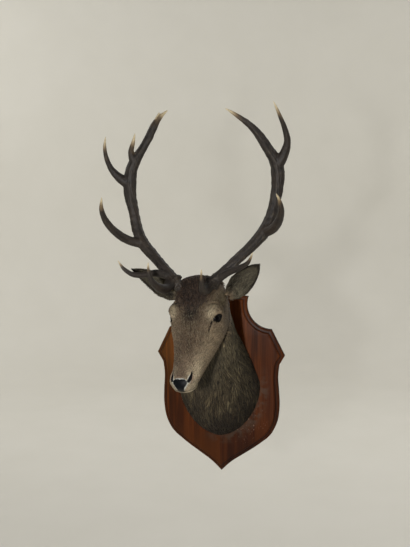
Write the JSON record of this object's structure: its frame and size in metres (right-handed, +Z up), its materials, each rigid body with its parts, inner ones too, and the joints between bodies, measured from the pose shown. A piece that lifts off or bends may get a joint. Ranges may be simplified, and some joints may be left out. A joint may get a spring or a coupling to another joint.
{
  "type": "red deer stag head mount",
  "caption": "Life-size still model of a red deer stag's head and neck with full antlers, mounted on a shield-shaped varnished wooden board that hangs flat on a wall.",
  "frame": {"origin": "on the board's flat back, on its centre line, level with the board's two side points", "axes": "+Z up along the board, +Y out of the board's back into the wall, so the stag looks out along -Y; +X is to the stag's left"},
  "size_m": [0.5472, 0.4452, 1.1468],
  "materials": {
    "board_wood": "dark red-brown varnish, satin, scuffed at the lower edge",
    "neck_coat": "long coarse grey-brown hair hanging down with darker streaks",
    "face_coat": "short flat taupe hair, darker on the forehead and paler round the eyes and mouth",
    "ear_coat": "short grey hair with longer pale hair inside the cup",
    "nose_skin": "glossy black pebbled skin",
    "eye_glass": "dark brown, polished",
    "antler_bone": "dark brown pearled bone with worn ivory tips"
  },
  "bodies": {
    "root": {"board": "board_wood", "neck_base": "neck_coat", "neck_upper": "neck_coat", "head": "face_coat", "lower_jaw": "face_coat", "nose_pad": "nose_skin", "eye_left": "eye_glass", "eye_right": "eye_glass", "ear_left": "ear_coat", "ear_right": "ear_coat", "antler_left_lower_beam": "antler_bone", "antler_left_upper_beam": "antler_bone", "antler_left_brow_tine": "antler_bone", "antler_left_bez_tine": "antler_bone", "antler_left_trez_tine": "antler_bone", "antler_left_crown_outer_tine": "antler_bone", "antler_right_lower_beam": "antler_bone", "antler_right_upper_beam": "antler_bone", "antler_right_brow_tine": "antler_bone", "antler_right_bez_tine": "antler_bone", "antler_right_trez_tine": "antler_bone", "antler_right_crown_outer_tine": "antler_bone", "antler_right_crown_inner_tine": "antler_bone", "antler_right_crown_snag_tine": "antler_bone"}
  },
  "joints": []
}
